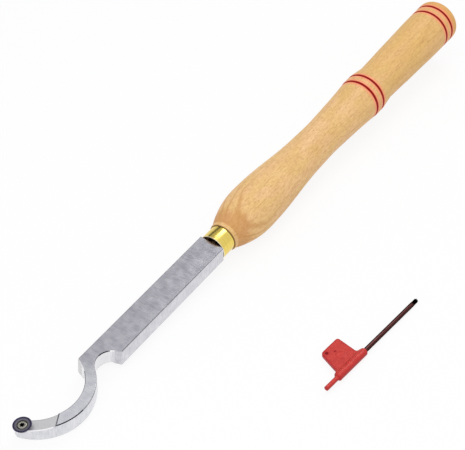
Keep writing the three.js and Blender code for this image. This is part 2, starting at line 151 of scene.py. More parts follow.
# %% Camera at the photograph's angle
CAMERA_AIM = Vector((14.3, -70, 0)) * MM
CAMERA_DISTANCE = 1054.7 * MM
CAMERA_AZIMUTH = math.radians(125.205)
CAMERA_ELEVATION = math.radians(41.926)
CAMERA_ROLL = math.radians(0.111)
LENS_MM = 115.74
SENSOR_MM = 36

away = Vector((
    math.sin(CAMERA_AZIMUTH) * math.cos(CAMERA_ELEVATION),
    -math.cos(CAMERA_AZIMUTH) * math.cos(CAMERA_ELEVATION),
    math.sin(CAMERA_ELEVATION),
))
look = (-away).to_track_quat("-Z", "Y").to_matrix() @ Matrix.Rotation(CAMERA_ROLL, 3, "Z")
bpy.ops.object.camera_add(location=CAMERA_AIM + away * CAMERA_DISTANCE, rotation=look.to_euler())
camera = bpy.context.object
camera.name = "photo_camera"
camera.data.lens = LENS_MM
camera.data.sensor_width = SENSOR_MM
bpy.context.scene.camera = camera
print("Camera, m:", [round(value, 4) for value in camera.location])

# %% [markdown]
# ## Two ways to make round work
# Most pieces here were turned on a lathe, and Blender's Spin does the same: a profile is drawn
# point by point by extruding one vertex, and spun about the Z axis. The screw's socket and thread
# and the key's tip aren't round, so those two pieces grow ring by ring instead: a circle is
# extruded, and each new ring takes its radius from a formula of the angle.

# %% Turn a piece on the lathe
WELD = MM / 1000
TURNED_STEPS = 128


def select_only(obj):
    """Leave one object selected and active."""
    bpy.ops.object.select_all(action="DESELECT")
    obj.select_set(True)
    bpy.context.view_layer.objects.active = obj


def close_up(piece, name, place):
    """Merge the seams, point the faces outwards, and put the piece's place in its mesh."""
    bpy.ops.mesh.select_all(action="SELECT")
    bpy.ops.mesh.remove_doubles(threshold=WELD)
    bpy.ops.mesh.normals_make_consistent(inside=False)
    bpy.ops.object.mode_set(mode="OBJECT")
    piece.name = piece.data.name = name
    select_only(piece)
    piece.matrix_world = place
    bpy.ops.object.transform_apply(location=True, rotation=True, scale=True)


def turn(name, place, profile):
    """Spin a profile of (height, radius) about the Z axis of a frame."""
    bpy.ops.mesh.primitive_plane_add(size=MM)
    piece = bpy.context.object
    bpy.ops.object.mode_set(mode="EDIT")
    bpy.ops.mesh.select_mode(type="VERT")
    bpy.ops.mesh.select_all(action="SELECT")
    bpy.ops.mesh.merge(type="CENTER")
    height, radius = profile[0]
    bpy.ops.transform.translate(value=(radius, 0, height))
    for next_height, next_radius in profile[1:]:
        step = (next_radius - radius, 0, next_height - height)
        bpy.ops.mesh.extrude_vertices_move(TRANSFORM_OT_translate={"value": step})
        height, radius = next_height, next_radius
    bpy.ops.mesh.select_all(action="SELECT")
    bpy.ops.mesh.spin(steps=TURNED_STEPS, angle=2 * math.pi, center=(0, 0, 0), axis=(0, 0, 1))
    close_up(piece, name, place)
    return piece


# %% Grow a piece ring by ring
def grow(name, place, rings, sides):
    """Rings of (height, radius or formula of the angle) round the Z axis of a frame.

    The first and last rings have no radius and close the piece on its axis.
    """
    bpy.ops.mesh.primitive_circle_add(vertices=sides, radius=MM, fill_type="NOTHING")
    piece = bpy.context.object
    bpy.ops.object.mode_set(mode="EDIT")
    bpy.ops.mesh.select_mode(type="VERT")
    mesh = bmesh.from_edit_mesh(piece.data)
    layer = mesh.verts.layers.float.new("angle")
    for vertex in mesh.verts:
        vertex[layer] = math.atan2(vertex.co.y, vertex.co.x)
    for number, (height, radius) in enumerate(rings):
        if number > 0:
            bpy.ops.mesh.extrude_region_move()
        mesh = bmesh.from_edit_mesh(piece.data)
        layer = mesh.verts.layers.float["angle"]
        for vertex in mesh.verts:
            if vertex.select:
                angle = vertex[layer]
                reach = radius(angle) if callable(radius) else radius
                vertex.co = Vector((math.cos(angle) * reach, math.sin(angle) * reach, height))
        bmesh.update_edit_mesh(piece.data)
    close_up(piece, name, place)
    piece.data.attributes.remove(piece.data.attributes["angle"])
    return piece


SMOOTH_BELOW = math.radians(35)


def smooth(piece, angle=SMOOTH_BELOW):
    """Shade the gentle edges smooth and keep the sharp ones."""
    select_only(piece)
    bpy.ops.object.shade_smooth_by_angle(angle=angle)
    print(piece.name, len(piece.data.polygons), "faces")


# %% [markdown]
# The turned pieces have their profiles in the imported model. Round work cut by a half plane shows
# its profile as one line of edges, so we walk along that line.

# %% Read a profile
def profile_of(node, place):
    """The profile of a turned CAD node, as (height, radius) along the Z axis of a frame."""
    mesh = frame["nodes"][node].data
    inverse = place.inverted()
    spots = [inverse @ vertex.co for vertex in mesh.vertices]
    keys = [None] * len(spots)
    for number, spot in enumerate(spots):
        reach = math.hypot(spot.x, spot.y)
        if reach < ROUND_OFF or (spot.x > 0 and abs(spot.y) < ROUND_OFF):
            keys[number] = (round(spot.z / ROUND_OFF), round(reach / ROUND_OFF))
    joined = {}
    for edge in mesh.edges:
        one, other = keys[edge.vertices[0]], keys[edge.vertices[1]]
        if one and other and one != other:
            joined.setdefault(one, set()).add(other)
            joined.setdefault(other, set()).add(one)
    ends = sorted(key for key in joined if key[1] == 0 and len(joined[key]) == 1)
    walk = [ends[0] if ends else min(joined)]
    while True:
        ways = [key for key in joined[walk[-1]] if key not in walk]
        if not ways:
            break
        walk.append(min(ways))
    if not ends:
        walk.append(walk[0])
    return [(height * ROUND_OFF, radius * ROUND_OFF) for height, radius in walk]


# %% [markdown]
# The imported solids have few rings, so a smooth curve is drawn through the gentle stretches of a
# profile, and each sharp corner gets the small radius that sanding or a deburring tool leaves.

# %% Refine a profile
SHARP = math.radians(18)
SIDE_TO_CORNER = 2.5
CURVE_SHARES = (0, 0.25, 0.5, 0.75, 1)


def bend_at(before, here, after):
    """How far a profile turns at a point, in radians."""
    first = Vector((here[0] - before[0], here[1] - before[1]))
    second = Vector((after[0] - here[0], after[1] - here[1]))
    return first.angle(second)


def flow(profile, steps):
    """Draw a smooth curve through every stretch of a profile that has no sharp corner."""
    last = len(profile) - 1
    sharp = [
        number in (0, last) or bend_at(*profile[number - 1:number + 2]) > SHARP
        for number in range(last + 1)
    ]
    fine = [profile[0]]
    for number in range(last):
        here, there = Vector(profile[number]), Vector(profile[number + 1])
        before = here if sharp[number] else Vector(profile[number - 1])
        after = there if sharp[number + 1] else Vector(profile[number + 2])
        straight = sharp[number] and sharp[number + 1]
        count = 1 if straight else steps
        for step in range(1, count + 1):
            share = step / count
            fine.append(tuple(between(before, here, there, after, share)))
    return fine


def between(before, here, there, after, share):
    """A point on the smooth curve from here to there."""
    leave = (there - before) / 2 if before != here else there - here
    arrive = (after - here) / 2 if after != there else there - here
    length = (there - here).length
    leave = leave.normalized() * length
    arrive = arrive.normalized() * length
    square, cube = share ** 2, share ** 3
    return (
        here * (2 * cube - 3 * square + 1) + leave * (cube - 2 * square + share)
        + there * (3 * square - 2 * cube) + arrive * (cube - square)
    )


def soften(profile, radius, closed=False):
    """Replace each sharp corner of a profile by a curve no longer than its sides allow."""
    soft = [] if closed else [profile[0]]
    count = len(profile)
    numbers = range(0, count - 1) if closed else range(1, count - 1)
    for number in numbers:
        before = Vector(profile[number - 1 if number > 0 else count - 2])
        here, after = Vector(profile[number]), Vector(profile[number + 1])
        if bend_at(before, here, after) < SHARP:
            soft.append(tuple(here))
            continue
        shortest = min((here - before).length, (after - here).length)
        reach = min(radius, shortest / SIDE_TO_CORNER)
        start = here + (before - here).normalized() * reach
        end = here + (after - here).normalized() * reach
        for share in CURVE_SHARES:
            soft.append(tuple(
                start * (1 - share) ** 2 + here * 2 * share * (1 - share) + end * share ** 2
            ))
    soft.append(soft[0] if closed else profile[-1])
    return soft


# %% [markdown]
# ## The handle
# The real handle is one piece of pale hardwood, turned between centres: a bead behind the
# ferrule, a bulge for the palm, a waist, a collar and a grip, with two pairs of ring grooves that
# were cut with the point of a skew and coloured red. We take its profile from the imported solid,
# smooth it, and turn it with many more sides.

# %% Model the handle
PROFILE_STEPS = 4
WOOD_EDGE = 0.3 * MM

# A turned piece is spun about Z, so this frame lays Z back along the tool
turning_frame = tool_frame @ Matrix.Rotation(-math.pi / 2, 4, "Y")
handle_profile = profile_of("handle", turning_frame)
handle_rings = soften(flow(handle_profile, PROFILE_STEPS), WOOD_EDGE)
handle = turn("turned_handle", turning_frame, handle_rings)
smooth(handle)
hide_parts("handle")
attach(handle, "tool")

# %% [markdown]
# The grooves will be coloured by a material, which needs to know where they are. They are the
# places where the profile dips and rises again at once.

# %% Find the ring grooves
GROOVE_LEAST_DEPTH = 0.5 * MM
GROOVE_MOST_WIDTH = 3 * MM
grooves = [
    here[0]
    for before, here, after in zip(handle_profile, handle_profile[1:], handle_profile[2:])
    if min(before[1], after[1]) - here[1] > GROOVE_LEAST_DEPTH
    and abs(before[0] - after[0]) < GROOVE_MOST_WIDTH
]
print("Grooves behind the ferrule's mouth, mm:", [round(-groove / MM, 1) for groove in grooves])

# %% [markdown]
# ## The ferrule
# A short length of brass tube keeps the handle from splitting. It was parted off on a lathe, so
# both rims are slightly rounded, and its mouth is countersunk to take off the burr: from the
# front only a thin bright rim shows round a dark opening. Its profile is a closed loop.

# %% Model the ferrule
BRASS_EDGE = 0.3 * MM
MOUTH_RIM = 0.5 * MM
ferrule_profile = profile_of("ferrule", turning_frame)
heights, radii = zip(*ferrule_profile)
mouth_at, rear_at = min(heights), max(heights)
ferrule_inside, ferrule_outside = min(radii), max(radii)
countersink = ferrule_outside - MOUTH_RIM - ferrule_inside
ferrule_rings = soften([
    (mouth_at + countersink, ferrule_inside),
    (mouth_at, ferrule_outside - MOUTH_RIM),
    (mouth_at, ferrule_outside),
    (rear_at, ferrule_outside),
    (rear_at, ferrule_inside),
    (mouth_at + countersink, ferrule_inside),
], BRASS_EDGE, closed=True)
ferrule = turn("brass_ferrule", turning_frame, ferrule_rings)
smooth(ferrule)
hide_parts("ferrule")
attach(ferrule, "tool")

# %% [markdown]
# ## The steel bar with its swan neck
# The bar was sawn and ground from one piece of steel. Its shape is already exact in the packed
# solid, with its notch, its crook and its milled seat, so a copy of that mesh is the shortest
# way: we weld it, melt its flat triangles into whole faces, and bevel the edges, because a real
# ground edge is never razor-sharp and its thin bright line tells the eye that this is steel.

# %% Copy a CAD piece
CAD_WELD = MM / 500
FLAT_WITHIN = math.radians(0.4)


def copy_of(node, name):
    """A welded copy of a CAD node's mesh, with its flat faces whole."""
    piece = frame["nodes"][node].copy()
    piece.data = piece.data.copy()
    piece.name = piece.data.name = name
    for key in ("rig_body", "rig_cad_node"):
        del piece[key]
    piece.parent = None
    bpy.context.scene.collection.objects.link(piece)
    select_only(piece)
    bpy.ops.object.mode_set(mode="EDIT")
    bpy.ops.mesh.select_all(action="SELECT")
    bpy.ops.mesh.remove_doubles(threshold=CAD_WELD)
    bpy.ops.mesh.dissolve_limited(angle_limit=FLAT_WITHIN)
    bpy.ops.object.mode_set(mode="OBJECT")
    return piece


def apply_modifier(piece, kind, **settings):
    """Add a modifier with its settings and apply it."""
    select_only(piece)
    modifier = piece.modifiers.new(kind.title(), kind)
    for setting, value in settings.items():
        setattr(modifier, setting, value)
    bpy.ops.object.modifier_apply(modifier=modifier.name)


bar = copy_of("tool_bar", "ground_bar")

# %% [markdown]
# The edges to bevel are those of the top, of the seat and of the underside, where two faces meet
# at a steep angle. We select them by their place, because the hole and the little step of the
# seat have to stay crisp. The faces that the bevel makes get a material slot of their own for a
# moment, so that we can find them again.

# %% Bevel the bar's edges
STEEL_EDGE = 0.55 * MM
STEEP = math.radians(50)
ON_FACE = 0.05 * MM
HOLE_CLEARANCE = 4 * MM
half_thickness = (Vector(mounts["bar_top"]["pos_m"]) - bar_middle).length
to_tool = tool_frame.inverted()
to_seat = seat_frame.inverted()
select_only(bar)
bar.data.materials.clear()
bar.data.materials.append(None)
bar.data.materials.append(None)
bpy.ops.object.mode_set(mode="EDIT")
bpy.ops.mesh.select_mode(type="EDGE")
bpy.ops.mesh.select_all(action="DESELECT")
mesh = bmesh.from_edit_mesh(bar.data)
for edge in mesh.edges:
    ends = [vertex.co for vertex in edge.verts]
    heights = [(to_tool @ end).z for end in ends]
    flat = any(
        all(abs(height - face) < ON_FACE for height in heights)
        for face in (half_thickness, -half_thickness)
    )
    on_seat = all(abs((to_seat @ end).z) < ON_FACE for end in ends)
    clear_of_hole = all((end - seat_frame.translation).length > HOLE_CLEARANCE for end in ends)
    steep = len(edge.link_faces) == 2 and edge.calc_face_angle() > STEEP
    if steep and clear_of_hole and (flat or on_seat):
        edge.select_set(True)
bmesh.update_edit_mesh(bar.data)
print("Edges to bevel:", sum(edge.select for edge in mesh.edges))
bpy.ops.mesh.bevel(
    offset=STEEL_EDGE, segments=2, affect="EDGES", clamp_overlap=False, material=1,
)
bpy.ops.object.mode_set(mode="OBJECT")

# %% [markdown]
# Every face keeps a number of painted shade and painted highlight: 0 is plain ground steel,
# towards 1 it is painted darker as painted shade, and towards -1 it is painted brighter as a
# painted highlight. The sides and the wall of the notch get a little of either. Most bevels get
# painted shade, darkest on the crook's outer edge behind the seat and on the upper edge of the
# notch, while the seat's edge and the inside corner get a painted highlight. The milled seat has
# a number of its own. The limits are angles in degrees about the crook's and the notch's centres.

# %% Where the bar's painted shade and painted highlights change
PAINTED_TONE = "painted_tone"
CROOK_CENTRE = Vector((159.3, -16.7)) * MM
CROOK_OUTSIDE = 33 * MM
NOTCH_CENTRE = Vector((122.0, 10.6)) * MM
NOTCH_WALL_WITHIN = 11.5 * MM
NOTCH_EDGE_WITHIN = 12 * MM
INSIDE_CORNER = Vector((132.2, -6.5)) * MM
CORNER_SIDE_WITHIN = 5 * MM
CORNER_EDGE_WITHIN = 7 * MM
CORNER_EDGE_FROM = 130 * MM
CROOK_SIDE_FROM = 129.2 * MM
# Angles where the bevels get the most painted shade or painted highlight
SHADE_ON_CROOK = (55.5, 94)
SHADE_ON_NOTCH = (-133, -94)
HIGHLIGHT_ON_NOTCH = (-152, -132)
HIGHLIGHT_ON_SEAT_EDGE = (8, 56)
NOTCH_TURN = (-155, -135)
FADE = 8

# %% How much painted shade or painted highlight each place gets
BEVEL_PAINTED_SHADE = 0.62
MILLED_BRIGHTNESS = 0.8
NOTCH_PAINTED_HIGHLIGHT = 0.5
NOTCH_REAR_PAINTED_SHADE = 0.04
CROOK_SIDE_PAINTED_SHADE = 0.12
BAR_SIDE_PAINTED_HIGHLIGHT = 0.08
CORNER_PAINTED_HIGHLIGHT = 0.5
SAME_WAY = 0.9999
SIDEWAYS = 0.3


def heading(place, centre):
    """The angle in degrees at which a place lies from a centre, seen from above."""
    return math.degrees(math.atan2(place.y - centre.y, place.x - centre.x))


def within(angle, limits):
    """1 well inside the limits, fading to 0 towards both."""
    middle = (limits[0] + limits[1]) / 2
    reach = (limits[1] - limits[0]) / 2
    return max(0, min(1, (reach - abs(angle - middle)) / reach * FADE))


def painted_tone_of_side(place):
    """The painted shade or highlight of a side face or of the wall of the notch."""
    if (place.to_2d() - NOTCH_CENTRE).length < NOTCH_WALL_WITHIN:
        start, end = NOTCH_TURN
        share = max(0, min(1, (heading(place, NOTCH_CENTRE) - start) / (end - start)))
        return NOTCH_REAR_PAINTED_SHADE - (NOTCH_REAR_PAINTED_SHADE + NOTCH_PAINTED_HIGHLIGHT) * share
    if (place.to_2d() - INSIDE_CORNER).length < CORNER_SIDE_WITHIN:
        return -CORNER_PAINTED_HIGHLIGHT
    return CROOK_SIDE_PAINTED_SHADE if place.x > CROOK_SIDE_FROM else -BAR_SIDE_PAINTED_HIGHLIGHT


def painted_tone_of_bevel(place):
    """The painted shade or highlight of a face that the bevel made."""
    from_crook, from_notch, from_corner = [
        (place.to_2d() - centre).length for centre in (CROOK_CENTRE, NOTCH_CENTRE, INSIDE_CORNER)
    ]
    tone = BEVEL_PAINTED_SHADE
    if place.z <= 0:
        return tone
    if from_crook > CROOK_OUTSIDE and place.x > CROOK_CENTRE.x:
        turned_by = heading(place, CROOK_CENTRE)
        dark, bright = SHADE_ON_CROOK, HIGHLIGHT_ON_SEAT_EDGE
    elif from_notch < NOTCH_EDGE_WITHIN:
        turned_by = heading(place, NOTCH_CENTRE)
        dark, bright = SHADE_ON_NOTCH, HIGHLIGHT_ON_NOTCH
        tone = NOTCH_REAR_PAINTED_SHADE if turned_by < SHADE_ON_NOTCH[0] else tone
    else:
        painted_bright = from_corner < CORNER_EDGE_WITHIN and place.x > CORNER_EDGE_FROM
        return -1 if painted_bright else tone
    tone += (1 - tone) * within(turned_by, dark)
    return tone - (1 + tone) * within(turned_by, bright)


# %% Keep the painted shade or painted highlight on each face of the bar
# Each face keeps its amount of painted shade or painted highlight; the milled seat keeps its own
# number
painted_tones = bar.data.attributes.new(PAINTED_TONE, "FLOAT", "FACE")
for face in bar.data.polygons:
    place = to_tool @ face.center
    if face.material_index == 1:
        tone = painted_tone_of_bevel(place)
    elif abs(face.normal.dot(tool_up)) < SIDEWAYS:
        tone = painted_tone_of_side(place)
    else:
        on_seat = face.normal.dot(seat_up) > SAME_WAY and (to_seat @ face.center).z < ON_FACE
        tone = -MILLED_BRIGHTNESS if on_seat else 0
    painted_tones.data[face.index].value = tone
    face.material_index = 0
bar.data.materials.clear()
print("Tones:", sorted({round(tone.value, 1) for tone in painted_tones.data}))
smooth(bar, STEEP)
apply_modifier(bar, "WEIGHTED_NORMAL", weight=100, keep_sharp=True)
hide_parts("tool_bar")
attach(bar, "tool")

# %% [markdown]
# ## The cutter
# The cutter is a round of sintered tungsten carbide. Its rim was ground to a narrow land that
# slopes inwards, its sides are relieved so that only the rim cuts, and a countersink takes the
# screw. It is turned work again, about the normal of its seat.

# %% Model the cutter
CARBIDE_EDGE = 0.08 * MM
CARBIDE_SMOOTH_BELOW = math.radians(25)
cutter_rings = soften(profile_of("cutter_insert", seat_frame), CARBIDE_EDGE, closed=True)
cutter = turn("round_cutter", seat_frame, cutter_rings)
smooth(cutter, CARBIDE_SMOOTH_BELOW)
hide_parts("cutter_insert")
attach(cutter, "cutter")

# %% [markdown]
# ## The cutter's screw
# A countersunk M4 screw with a six-lobed socket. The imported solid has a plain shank, since its
# thread is only looks. Here the thread is real: the radius of each ring follows the angle and
# the height, so the crest winds up the shank at the pitch of 0.7 mm.

# %% Lobes and thread
LOBES = 6
LOBE_SHARE = 0.14
THREAD_PITCH = 0.7 * MM
THREAD_CREST = 1.9 * MM
THREAD_ROOT = 1.5 * MM
FLAT_CREST = 1.25


def lobes(radius):
    """A formula of the angle for a six-lobed outline."""
    return lambda angle: radius * (1 - LOBE_SHARE + LOBE_SHARE * math.cos(LOBES * angle))


def thread_at(height, fade):
    """A formula of the angle for one ring of the thread."""
    def reach(angle):
        phase = (height / THREAD_PITCH - angle / (2 * math.pi)) % 1
        crest = 1 - abs(2 * phase - 1)
        return THREAD_ROOT + (THREAD_CREST - THREAD_ROOT) * min(1, crest * FLAT_CREST) * fade
    return reach


# %% Model the screw
ROUND_SIDES = 96
THREAD_RINGS_PER_TURN = 8
SOCKET_RADIUS = 1.6 * MM
SOCKET_DEPTH = 1.7 * MM
SOCKET_LIP = 0.12 * MM
HEAD_EDGE = 0.12 * MM
HEAD_DOME = 0.1 * MM
HEAD_SLOPE = math.radians(30)
screw_places = [to_seat @ corner for corner in corners_of("cutter_screw")]
head_top = max(place.z for place in screw_places)
screw_end = min(place.z for place in screw_places)
head_radius = max(math.hypot(place.x, place.y) for place in screw_places)
shank_top = head_top - (head_radius - THREAD_ROOT) / math.tan(HEAD_SLOPE)
socket_floor = head_top - SOCKET_DEPTH
screw_rings = [
    (socket_floor - SOCKET_RADIUS / 4, 0),
    (socket_floor, lobes(SOCKET_RADIUS)),
    (head_top - HEAD_DOME - SOCKET_LIP, lobes(SOCKET_RADIUS)),
    (head_top - SOCKET_LIP / 3, lobes(SOCKET_RADIUS + SOCKET_LIP)),
    (head_top, (SOCKET_RADIUS + head_radius) / 2),
    (head_top - HEAD_DOME / 2, head_radius - 2 * HEAD_EDGE),
    (head_top - HEAD_DOME, head_radius - HEAD_EDGE),
    (head_top - HEAD_DOME - HEAD_EDGE, head_radius - HEAD_EDGE / 2),
    (shank_top, THREAD_ROOT),
]
thread_rings = round((shank_top - screw_end) / THREAD_PITCH * THREAD_RINGS_PER_TURN)
for number in range(1, thread_rings):
    height = shank_top + (screw_end - shank_top) * number / thread_rings
    from_end = min(number, thread_rings - number) / THREAD_RINGS_PER_TURN
    screw_rings.append((height, thread_at(height, min(1, from_end))))
screw_rings += [(screw_end, THREAD_ROOT - HEAD_EDGE), (screw_end, 0)]
screw = grow("socket_screw", seat_frame, screw_rings, ROUND_SIDES)
smooth(screw)
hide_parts("cutter_screw")
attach(screw, "screw")

# %% [markdown]
# ## The key's blade
# A straight steel rod with the same six lobes milled on its end. It grows from its tip: lobed
# rings first, then a short slope where the mill ran out, and then the round rod.

# %% Model the key's blade
TIP_LENGTH = 4.5 * MM
TIP_CHAMFER = 0.4 * MM
TIP_SHARE = 15 / 16
blade_radius = max(math.hypot(place.y, place.z) for place in blade_places)
tip_radius = blade_radius * TIP_SHARE
tip_start = blade_out - TIP_LENGTH
rod_frame = key_frame @ Matrix.Rotation(math.pi / 2, 4, "Y")
blade_rings = [
    (blade_out, 0),
    (blade_out, lobes(tip_radius - TIP_CHAMFER)),
    (blade_out - TIP_CHAMFER / 2, lobes(tip_radius - TIP_CHAMFER / 4)),
    (blade_out - TIP_CHAMFER, lobes(tip_radius)),
    (tip_start, lobes(tip_radius)),
    (tip_start - TIP_CHAMFER, lambda angle: (blade_radius + lobes(tip_radius)(angle)) / 2),
    (tip_start - 3 * TIP_CHAMFER, blade_radius),
    (blade_in + TIP_CHAMFER, blade_radius),
    (blade_in, blade_radius - TIP_CHAMFER),
    (blade_in, 0),
]
blade = grow("key_rod", rod_frame, blade_rings, ROUND_SIDES)
smooth(blade)
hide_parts("key_blade")
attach(blade, "key")

# %% [markdown]
# ## The key's moulded handle
# The flag, its barrel and its tail are one injection moulding. Where they meet, the mould leaves
# soft fillets, and every outer edge is a little round. Bevels would need each seam by hand, so
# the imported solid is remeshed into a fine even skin, and smoothing that skin rounds the outer
# edges and fills the inner corners just as a mould does.

# %% Model the key's moulded handle
SKIN = 0.16 * MM
SKIN_SMOOTH_BELOW = math.radians(60)
flag = copy_of("key_flag", "moulded_flag")
apply_modifier(flag, "REMESH", mode="VOXEL", voxel_size=SKIN, adaptivity=0)
apply_modifier(flag, "SMOOTH", factor=0.5, iterations=8)
smooth(flag, SKIN_SMOOTH_BELOW)
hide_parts("key_flag")
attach(flag, "key")

# %% [markdown]
# ## Helpers for the materials
# Each material is a small tree of nodes. Its patterns read the object's coordinates through a
# Mapping node that turns them into millimetres along the piece, so grain runs along the handle
# and grinding lines run across the bar. Colours are written as on a screen and turned linear.

# %% Helpers for materials
def linear(hex_colour):
    """A screen colour such as E4BC82 as linear red, green, blue and alpha."""
    shares = [int(hex_colour[i:i + 2], 16) / 255 for i in (0, 2, 4)]
    return [s / 12.92 if s <= 0.04045 else ((s + 0.055) / 1.055) ** 2.4 for s in shares] + [1]


def first_output(source):
    """A socket as it is, or the first output in use of a node."""
    if isinstance(source, bpy.types.Node):
        return next(socket for socket in source.outputs if socket.enabled)
    return source


def add(tree, kind, inputs=None, **settings):
    """Add a shader node. An input that is a node or a socket is linked, any other is set."""
    node = tree.nodes.new("ShaderNode" + kind)
    for setting, value in settings.items():
        setattr(node, setting, value)
    for name, value in (inputs or {}).items():
        value = first_output(value)
        if isinstance(value, bpy.types.NodeSocket):
            tree.links.new(value, node.inputs[name])
        else:
            node.inputs[name].default_value = value
    return node


def plain_material_on(piece, name, **constants):
    """A new material on a piece: its tree and its shader."""
    material = bpy.data.materials.new(name)
    material.use_nodes = True
    shader = material.node_tree.nodes["Principled BSDF"]
    for socket, value in constants.items():
        shader.inputs[socket.replace("_", " ")].default_value = value
    piece.data.materials.clear()
    piece.data.materials.append(material)
    return material.node_tree, shader


def material_on(piece, name, place, **constants):
    """A new material on a piece: its tree, its shader, and millimetres along the piece."""
    tree, shader = plain_material_on(piece, name, **constants)
    mapping = add(
        tree, "Mapping",
        {
            "Vector": add(tree, "TexCoord").outputs["Object"],
            "Location": place.to_translation(),
            "Rotation": place.to_euler(),
            "Scale": (MM, MM, MM),
        },
        vector_type="TEXTURE",
    )
    return tree, shader, mapping


# %% [markdown]
# Three things repeat in every finish. A pattern has spots of a real size, and shows between two
# levels of its noise. A radius tells how far the skin lies from an axis. And the finished colour
# is built as a painter does it, coat over coat, each with the share to which it covers. Where a
# share follows a value, a row gives the value, its two ends, and the share at either end.

# %% Patterns, radii and coats
RANGE = ("Value", "From Min", "From Max", "To Min", "To Max")


def pattern_on(tree, place, sizes, low=0.35, high=0.65, most=1.0, **settings):
    """Noise with spots of given sizes in mm, and how strongly each spot shows."""
    spread = add(tree, "Mapping", {"Vector": place, "Scale": [1 / size for size in sizes]})
    noise = add(tree, "TexNoise", {"Vector": spread, "Scale": 1.0, **settings})
    shown = add(tree, "MapRange", dict(zip(RANGE, (noise, low, high, 0, most))))
    return noise, shown


def radius_on(tree, place, weights):
    """The distance in mm from a line: a weight is 0 along it and 1 across it."""
    across = add(tree, "VectorMath", {0: place, 1: weights}, operation="MULTIPLY")
    return add(tree, "VectorMath", {0: across}, operation="LENGTH").outputs["Value"]


def finish(tree, shader, colour, coats, relief=None, **sources):
    """Lay coats of (share, colour) over a colour, and link all that varies to the shader.

    A relief is (pattern, strength, depth in mm).
    """
    for share, hex_colour in coats:
        colour = add(
            tree, "Mix", {"Factor": share, "A": colour, "B": linear(hex_colour)}, data_type="RGBA",
        )
    sources["Base_Color"] = colour
    if relief:
        height, strength, depth = relief
        sources["Normal"] = add(
            tree, "Bump", {"Height": height, "Strength": strength, "Distance": depth * MM},
        )
    for socket, source in sources.items():
        tree.links.new(first_output(source), shader.inputs[socket.replace("_", " ")])
    print(shader.id_data.name, len(tree.nodes), "nodes")


# %% [markdown]
# ## Lacquered hardwood
# The handle is pale close-grained hardwood under a thin satin lacquer. Its growth rings are wide
# sheets that the turned surface cuts into long arcs, and they show best where the bulge curves in
# to the ferrule. Here the radius from the pith, a little disturbed, is folded into rings.

# %% Material of the handle: growth rings
RING_SPACING = 2.3
RING_WANDER = 9.0
PITH = (0, -26.0, -40.0)
GRAIN_SLOPE = 0.06
tree, shader, place = material_on(
    handle, "Lacquered hardwood", tool_frame,
    Roughness=0.5, Specular_IOR_Level=0.2, Coat_Weight=0.03, Coat_Roughness=0.3,
)
wander = pattern_on(tree, place, (60, 15, 15), 0, 1, Detail=2.0)[1]
from_pith = add(tree, "VectorMath", {0: place, 1: PITH}, operation="SUBTRACT")
distance = radius_on(tree, from_pith, (GRAIN_SLOPE, 1, 1))
wandered = add(tree, "Math", {0: wander, 1: RING_WANDER, 2: distance}, operation="MULTIPLY_ADD")
ring_number = add(tree, "Math", {0: wandered, 1: RING_SPACING}, operation="DIVIDE")
ring_share = add(tree, "Math", {0: ring_number, 1: 1.0}, operation="PINGPONG")
late_wood = add(
    tree, "MapRange", {"Value": ring_share, "From Min": 0.5, "From Max": 1.0},
    interpolation_type="SMOOTHSTEP",
)

# %% [markdown]
# The wood changes from end to end. The rings fade along the grip and on the bead, the grip is
# yellower, the short band behind the last groove is warmer under more lacquer, the steep front of
# the bulge is painted browner, partly for its end grain and partly as painted shade on that steep
# face, and a thin dark line of glue and dust fills the joint with the brass. Each row says from
# where to where along the tool, in mm, and how strong it is at either end.

# %% Material of the handle: what changes along it
butt_at = -max(height for height, radius in handle_profile) / MM
joint_at = -rear_at / MM
ALONG_THE_HANDLE = {
    "rings": (-65, -30, 0.12, 0.6, "LINEAR"),
    "off the bead": (-24, -17, 1, 0.15, "LINEAR"),
    "butt rings": (butt_at + 1, butt_at + 2.5, 0.8, 0, "LINEAR"),
    "yellower grip": (-215, -150, 0.42, 0, "LINEAR"),
    "warmer butt": (-299.5, -298, 0.55, 0, "LINEAR"),
    "brown bead": (-16, -15, 0.5, 0, "LINEAR"),
    "brown bulge": (-29, -20, 0, 1, "SMOOTHSTEP"),
    "joint": (joint_at - 0.7, joint_at - 0.2, 0, 0.85, "LINEAR"),
}
along = add(tree, "SeparateXYZ", {"Vector": place}).outputs["X"]
strength = {}
for name, (*limits, blend) in ALONG_THE_HANDLE.items():
    strength[name] = add(
        tree, "MapRange", dict(zip(RANGE, (along, *limits))), interpolation_type=blend,
    )
rings_here = add(
    tree, "Math",
    {0: strength["rings"], 1: strength["off the bead"], 2: strength["butt rings"]},
    operation="MULTIPLY_ADD",
)
ringed = add(tree, "Math", {0: late_wood, 1: rings_here}, operation="MULTIPLY")
# The steep front of the bulge is browner, partly for its end grain and partly as painted shade
end_grain_and_painted_shade = add(
    tree, "Math", {0: strength["brown bead"], 1: strength["brown bulge"]}, operation="MULTIPLY",
)

# %% [markdown]
# The grooves were coloured dark red, and the colour bled a little into the wood beside them. Both
# follow the distance to the nearest groove.

# %% Material of the handle: grooves
GROOVE_HALF_WIDTH = 1.1
GROOVE_BLUR = 0.25
BLEED_HALF_WIDTH = 4.2
FAR = 1000.0
nearest = FAR
for groove in grooves:
    offset = add(tree, "Math", {0: along, 1: groove / MM}, operation="ADD")
    reach = add(tree, "Math", {0: offset}, operation="ABSOLUTE")
    nearest = add(tree, "Math", {0: nearest, 1: reach}, operation="MINIMUM")
bled, in_groove = [
    add(tree, "MapRange", dict(zip(RANGE, row)), interpolation_type=blend)
    for *row, blend in [
        (nearest, GROOVE_HALF_WIDTH, BLEED_HALF_WIDTH, 0.72, 0, "SMOOTHSTEP"),
        (nearest, GROOVE_HALF_WIDTH - GROOVE_BLUR, GROOVE_HALF_WIDTH + GROOVE_BLUR, 1, 0, "LINEAR"),
    ]
]

# %% [markdown]
# Broad patches are pinker or yellower, and finer mottling, fibres and short pores lie along the
# grain. The pores are drawn about twice their real width, or they wouldn't show.

